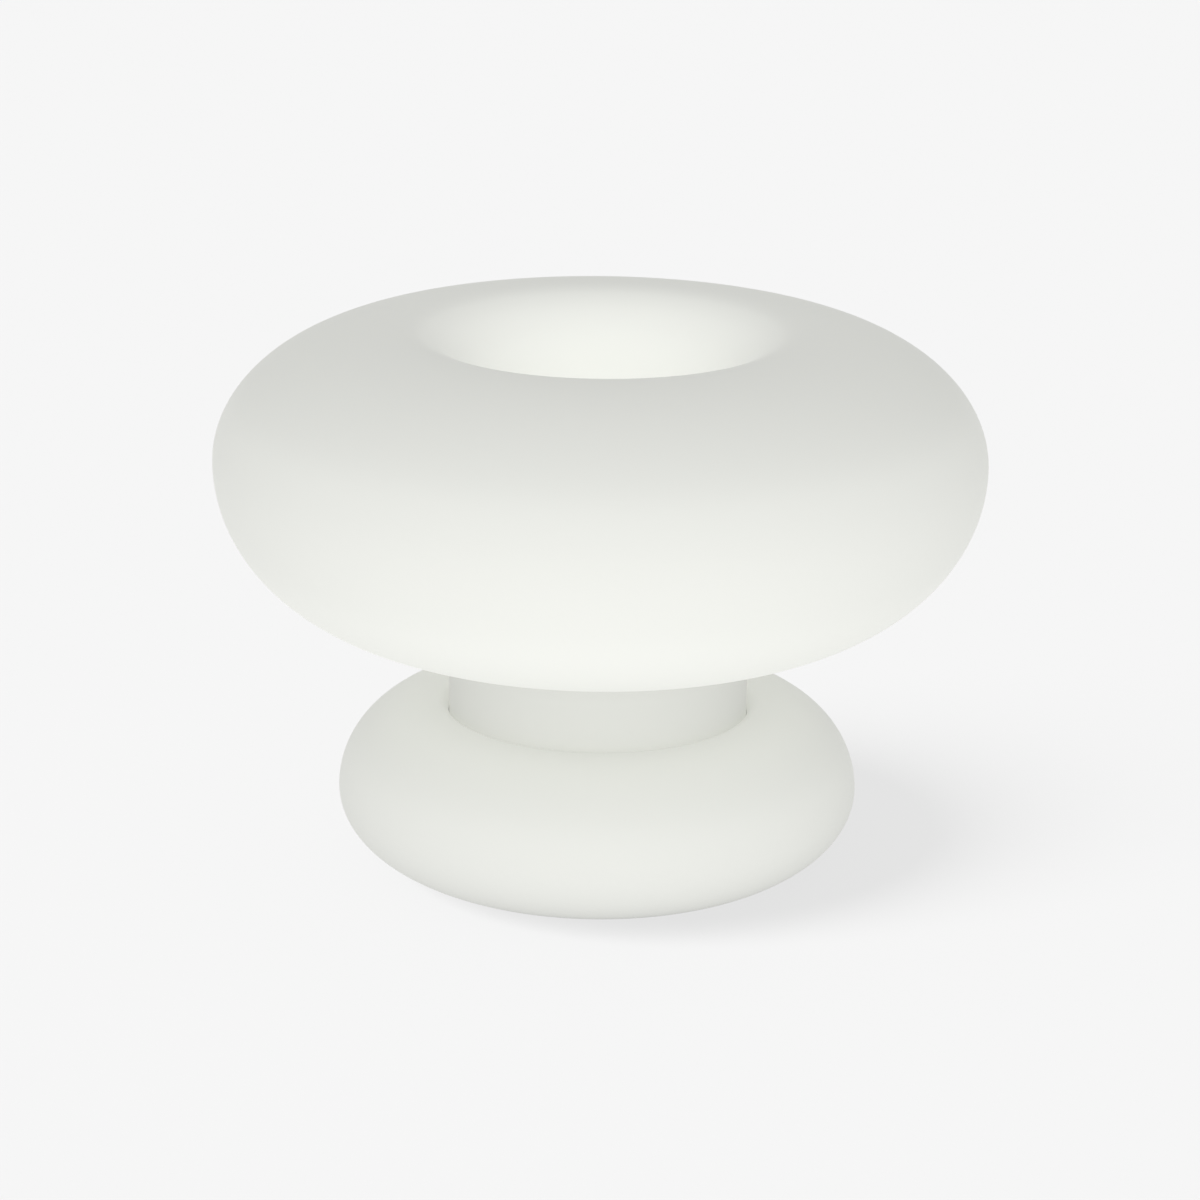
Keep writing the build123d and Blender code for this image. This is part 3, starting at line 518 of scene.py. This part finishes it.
foot_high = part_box("foot_ring")[1]
FOOT_OUTER = foot_high[0]
FOOT_TOP = foot_high[2]
FOOT_INNER = 0.038
FOOT_EDGE = [(0.0, 0.0005), (0.0002, 0.0001)]
EDGE_WIDTH = 0.0006
RIBS = 6
RIB_DEPTH = 0.0005
RIB_LAND = 0.62
GROOVE_START = 0.7
GROOVE_END = 0.92
band = (FOOT_OUTER - FOOT_INNER - 2 * EDGE_WIDTH) / RIBS
outline = [(FOOT_INNER, FOOT_TOP)] + [(FOOT_INNER + r, z) for r, z in FOOT_EDGE]
for rib in range(RIBS):
    left = FOOT_INNER + EDGE_WIDTH + rib * band
    outline += [(left, 0.0), (left + RIB_LAND * band, 0.0), (left + GROOVE_START * band, RIB_DEPTH),
                (left + GROOVE_END * band, RIB_DEPTH)]
outline += [(FOOT_OUTER - EDGE_WIDTH, 0.0)] + [(FOOT_OUTER - r, z) for r, z in FOOT_EDGE[::-1]]
outline += [(FOOT_OUTER, FOOT_TOP)]
foot = turned("Foot_ring", outline, foot_rubber, closed=True)
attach(foot, "base")
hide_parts("foot_ring")


def screw_mesh(name, radius, ring, head_low, head, shank, tip, key):
    """One upward screw at a distance from the axis: rounded head, hexagon socket, round shank."""
    edge = 0.15 * head
    outline = [(0.0, head_low), (radius - edge, head_low)]
    outline += arc((radius - edge, head_low + edge), edge, edge, -90, 0, 5)[1:]
    outline += [(radius, head_low + head), (shank, head_low + head), (shank, tip - 0.5 * shank),
                (0.4 * shank, tip), (0.0, tip)]
    part = turned(name, outline, None, steps=40)
    work = bmesh.new()
    bmesh.ops.create_cone(work, cap_ends=True, segments=6, radius1=key, radius2=key, depth=1.2 * head)
    bmesh.ops.translate(work, verts=work.verts, vec=(0.0, 0.0, head_low))
    socket = bpy.data.meshes.new("Key")
    work.to_mesh(socket)
    work.free()
    carve(part, in_scene("Key", socket), "DIFFERENCE")
    mesh = part.data
    mesh.transform(Matrix.Translation((ring, 0.0, 0.0)))
    bpy.data.objects.remove(part)
    return mesh


def ring_of(name, mesh, count, start, finish, body, node):
    """Copies of a part on a ring, riding on a body and standing for a CAD node."""
    made = grown(name, mesh, RING, count=count, start_turn=radians(start), finish=finish)
    outward(made.data, PART_SHARP)
    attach(made, body)
    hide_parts(node)


pan_screw = screw_mesh("Pan_screw", radius=0.0028, ring=PAN_SCREW_RING, head_low=0.0012, head=0.0018,
                       shank=0.0015, tip=0.012, key=0.00126)
ring_of("Pan_screws", pan_screw, PAN_SCREW_COUNT, PAN_SCREW_START, zinc, "base", "pan_screws")
ballast_screw = screw_mesh("Ballast_screw", radius=0.0035, ring=0.030, head_low=0.0012, head=0.0021,
                           shank=0.002, tip=0.0095, key=0.00157)
ring_of("Ballast_screws", ballast_screw, 3, 0, zinc, "base", "ballast_screws")

# ---- Ballast and battery ----
# A primed steel disc low in the base keeps the wide shade from tipping it. On it stand a dark ABS
# tray with two film-wrapped lithium cells, strapped down and joined by welded nickel strips.
# Grey primer on milled steel: dull, slightly grainy mid grey.
carried(moulded("steel_primed_grey", "8A8C8E", 0.6, 0.4, 0.02), "ballast_plate")
# ABS, dark grey: plain inner moulding with a fine grain.
carried(moulded("ABS_dark_grey_moulded", "5A5A5D", 0.55, 0.3, 0.02), "battery_tray")
# PVC shrink film: tight, smooth, glossy blue.
carried(moulded("PVC_shrink_film_blue", "5B8FC0", 0.25, 1.2, 0.01, ior=1.53), "battery_cells")
# Woven polyester tape: black with a coarse 0.6 mm weave.
carried(moulded("polyester_tape_woven", "4E4E4E", 0.8, 0.6, 0.08), "battery_straps")
# Nickel strip, rolled: warm silver, fairly bright.
carried(metal("nickel_rolled", "DDD8CF", 0.28, 0.3, 0.003), "cell_links")
carried(zinc, "stem_stud", "stem_nut")

# ---- Driver board ----
# A round green glass-fibre board on four brass pillars charges the cells and drives the light. It
# carries moulded chips, a pressed ferrite coil, two aluminium cans and three nylon lead sockets.
# Solder mask over glass fibre: deep green, semi-gloss, with the weave just felt.
carried(moulded("solder_mask_green", "267F5C", 0.3, 0.5, 0.01), "driver_board", "port_board")
# Brass, turned: pale yellow with a soft gloss.
carried(metal("brass_turned", "E5CE9E", 0.3, 0.15, 0.004), "board_standoffs")
carried(zinc, "board_screws")
# Moulded epoxy: charcoal, matt, sandy.
chip_epoxy = moulded("epoxy_black_moulded", "3D3D3D", 0.6, 0.12, 0.01)
carried(chip_epoxy, "driver_chips", "tact_switch")
# Ferrite, pressed: mid grey, dull and powdery.
carried(moulded("ferrite_pressed", "737376", 0.65, 0.2, 0.02), "driver_coil")
# Aluminium, drawn into cans: bright pale silver.
carried(metal("aluminium_drawn_can", "D9DADC", 0.3, 0.2, 0.003), "driver_capacitors")
# Nylon, natural: creamy white with a waxy half-gloss.
nylon = moulded("nylon_natural_moulded", "EDEAE0", 0.4, 0.4, 0.01)
carried(nylon, "lead_sockets", "led_plug")

# ---- Inner cover ----
# A white ABS drum with a round shoulder hides battery and board and throws light out to the opal
# base. The clamp collar on the stem holds it down, and a rubber bush lets the port's lead through.
COVER_RADIUS = 0.0455
COVER_TOP = 0.052
COVER_ROUND = 0.010
COVER_WALL = 0.0015
STEM_CLEAR = 0.0083


def cover_outline(inset):
    """One side of the drum's wall, from its foot to the stem."""
    side, top = COVER_RADIUS - inset, COVER_TOP - inset
    curve = COVER_ROUND - inset
    shoulder = arc((side - curve, top - curve), curve, curve, 0, 90, 16)
    return [(side, PAN_TOP)] + shoulder + [(STEM_CLEAR, top)]


cover = turned("Inner_cover", cover_outline(0.0) + cover_outline(COVER_WALL)[::-1], white_abs, closed=True,
               steps=160)
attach(cover, "base")
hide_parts("inner_cover")
smoothed("Cover_grommet", "cover_grommet", "base", foot_rubber)

# ---- Stem and collar ----
# A drawn aluminium tube on a stud through the ballast carries the light. A white clamp collar with
# one black grub screw grips it above the drum.
# Drawn aluminium, lightly brushed along its length: pale silver with fine upright lines.
drawn_aluminium = metal("aluminium_drawn_brushed", "D6D8DA", 0.36, 0.1, 0.006, stretch=(1.0, 1.0, 0.05))
smoothed("Stem_tube", "stem_tube", "base", drawn_aluminium)
smoothed("Stem_collar", "stem_collar", "base", white_abs)
# Black oxide on steel: dark, slightly oily.
smoothed("Collar_screw", "collar_screw", "base", metal("steel_black_oxide", "4A4A4B", 0.4, 0.15, 0.004))

# ---- Heat sink, LED board and dome ----
# A turned and bead-blasted aluminium sink with twelve fins carries a white metal-cored board with
# twelve warm LEDs. A lit opal polycarbonate dome covers them, fixed by three radial screws.
# Bead-blasted aluminium: soft light grey without direction.
blasted = metal("aluminium_bead_blasted", "CFD1D4", 0.5, 0.15, 0.012)
smoothed("Heat_sink", "heat_sink", "base", blasted)
# Solder mask over aluminium, white: semi-gloss, brighter than the plastics.
carried(moulded("solder_mask_white", "F0F0EC", 0.3, 0.5, 0.005), "led_board")
# Silicone filled with phosphor: egg-yolk yellow, slightly soft gloss.
carried(moulded("silicone_phosphor", "F5E3A8", 0.35, 0.3, 0.01, ior=1.41), "led_chips")
carried(zinc, "led_screws")

DOME_RADIUS = 0.036
DOME_INSIDE = 0.0341
DOME_SKIRT = 0.096
DOME_BELT = 0.106
DOME_EDGE = 0.0004
# Opal polycarbonate, injection moulded and lit from inside: very even, brighter than the shell.
dome_opal = moulded("polycarbonate_opal_lit", "ECECE8", 0.35, 0.5, 0.004, mottle=0.01, ior=1.58,
                    **{"Emission Color": (1.0, 0.985, 0.93, 1.0), "Emission Strength": 0.3})
outline = arc((0.0, DOME_BELT), DOME_RADIUS, DOME_RADIUS, 90, 0, 36)
outline += [(DOME_RADIUS, DOME_SKIRT + DOME_EDGE), (DOME_RADIUS - DOME_EDGE, DOME_SKIRT),
            (DOME_INSIDE + DOME_EDGE, DOME_SKIRT), (DOME_INSIDE, DOME_SKIRT + DOME_EDGE)]
outline += arc((0.0, DOME_BELT), DOME_INSIDE, DOME_INSIDE, 0, 90, 36)
outline[0] = (0.0, outline[0][1])
outline[-1] = (0.0, outline[-1][1])
dome = turned("Light_dome", outline, dome_opal, steps=144)
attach(dome, "base")
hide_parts("light_dome")
smoothed("Dome_screws", "dome_screws", "base", zinc)

# ---- Leads ----
# Leads held at both ends, each to the length of its route: white from the board up the stem and to
# the port, red to the cells.
# PVC, extruded over the strands: soft, satin and even.
carried(moulded("PVC_lead_white", "F2F2F0", 0.45, 0.8, 0.01), "lamp_lead", "port_lead")
carried(moulded("PVC_lead_red", "CC4840", 0.45, 0.8, 0.01), "battery_lead")

# ---- Rear port ----
# A round white ABS plate in the base's pocket, held by two small screws on a silicone gasket. It
# has a satin push button above and a soft flap, hung on a steel pin, over the charging socket.
smoothed("Port_housing", "port_housing", "base", white_abs)
# Silicone, moulded: milky grey, translucent-looking, with a dry matt touch.
silicone = moulded("silicone_milky_moulded", "CDCFCC", 0.65, 0.2, 0.01, ior=1.41)
smoothed("Port_gasket", "port_gasket", "base", silicone)
smoothed("Port_screws", "port_screws", "base", zinc)
smoothed("Usb_socket", "usb_socket", "base", zinc)
# Satin ABS: as the plate, but polished a step finer so the finger's spot catches the light.
satin_abs = moulded("ABS_satin", "DADAD7", 0.3, 0.4, 0.004)
smoothed("Power_button", "power_button", "button", satin_abs)
smoothed("Port_flap", "port_flap", "flap", silicone)
smoothed("Flap_pin", "flap_pin", "base", zinc)

# ---- Seat ring ----
# A milky silicone ring on the socket's ledge. The neck's edge rests on it without a rattle.
smoothed("Neck_rest_ring", "seat_ring", "base", silicone)

# ---- Shade ----
# The ring-shaped shade with its bowl-shaped dimple and its neck: one rotationally moulded opal
# shell. It drops with a stepped-in spigot into the base's socket, and lifts off.
shade_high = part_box("shade_shell")[1]
SHADE_RADIUS = shade_high[0]
SHADE_TOP = shade_high[2]
CROWN_RING = 0.079
BELT_HEIGHT = 0.1655
KEEL_RING = 0.0755
KEEL_HEIGHT = 0.1005
RIM_WIDTH = 0.038
RIM_DEPTH = 0.0535
BOWL_SLOPE = 67.0
NECK_RADIUS = 0.059
NECK_FOOT = 0.060
SPIGOT_RADIUS = 0.0565
SPIGOT_FOOT = 0.049
SPIGOT_ROOT = 0.001
NECK_STEP = 0.0035


def shade_outline(inset):
    """The outline from the dimple's bottom to the top of the neck, moved in by inset, in five parts."""
    width, depth = RIM_WIDTH - inset, RIM_DEPTH - inset
    slope = radians(BOWL_SLOPE)
    rim_height = SHADE_TOP - RIM_DEPTH
    turn = atan(tan(slope) * width / depth)
    meet = (CROWN_RING - width * sin(turn), rim_height + depth * cos(turn))
    bowl = meet[0] / sin(slope)
    neck_round = KEEL_RING - NECK_RADIUS
    return [
        arc((0.0, meet[1] + bowl * cos(slope)), bowl, bowl, -90, -90 + BOWL_SLOPE, 22),
        arc((CROWN_RING, rim_height), width, depth, 90 + turn * 180 / pi, 90, 26),
        arc((CROWN_RING, BELT_HEIGHT), SHADE_RADIUS - CROWN_RING - inset, SHADE_TOP - BELT_HEIGHT - inset,
            90, 0, 40),
        arc((KEEL_RING, BELT_HEIGHT), SHADE_RADIUS - KEEL_RING - inset, BELT_HEIGHT - KEEL_HEIGHT - inset,
            0, -90, 40),
        arc((KEEL_RING, KEEL_HEIGHT - neck_round), neck_round + inset, neck_round + inset, 90, 180, 16),
    ]


def joined(parts):
    """Outline parts as one list of points, and each one's place along it: part number and share."""
    points, along = [], []
    for number, part in enumerate(parts):
        first = 0 if number == 0 else 1
        points += part[first:]
        along += [number + i / (len(part) - 1) for i in range(first, len(part))]
    return points, along


outside, along = joined(shade_outline(0.0))
inside, _ = joined(shade_outline(WALL))
neck = [(NECK_RADIUS, NECK_FOOT), (SPIGOT_RADIUS, NECK_FOOT), (SPIGOT_RADIUS, SPIGOT_FOOT),
        (SPIGOT_RADIUS - WALL, SPIGOT_FOOT), (SPIGOT_RADIUS - WALL, NECK_FOOT + SPIGOT_ROOT),
        (NECK_RADIUS - WALL, NECK_FOOT + NECK_STEP)]
outline = outside + neck + inside[::-1]
# Places along the outline as shares of eight parts: five outside, the neck's foot, the spigot with
# the step inside it, and the inner face.
PARTS = 8.0
along = [a / PARTS for a in along] + [6 / PARTS] + [7 / PARTS] * 5 + [1.0] * len(inside)
outline[0] = (0.0, outline[0][1])
outline[-1] = (0.0, outline[-1][1])
# Glow along the outline: lamp light through the wall, and partly painted light and shade. It is brightest
# in the dimple and on the lower belly, dimmest on the crown, and even on the neck and inside.
shade_glow_and_painted_light = [(0.0, 0.434), (0.0375, 0.434), (0.075, 0.437), (0.125, 0.448), (0.169, 0.404),
              (0.2125, 0.306), (0.25, 0.226), (0.3, 0.247), (0.35, 0.39), (0.4, 0.524), (0.45, 0.604),
              (0.5, 0.492), (0.5625, 0.35), (0.65, 0.3), (1.0, 0.3)]
shade_opal = opal("polyethylene_opal_moulded_shade", shade_glow_and_painted_light)
shade = turned("Shade", outline, shade_opal, along=along)
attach(shade, "shade")
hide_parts("shade_shell")
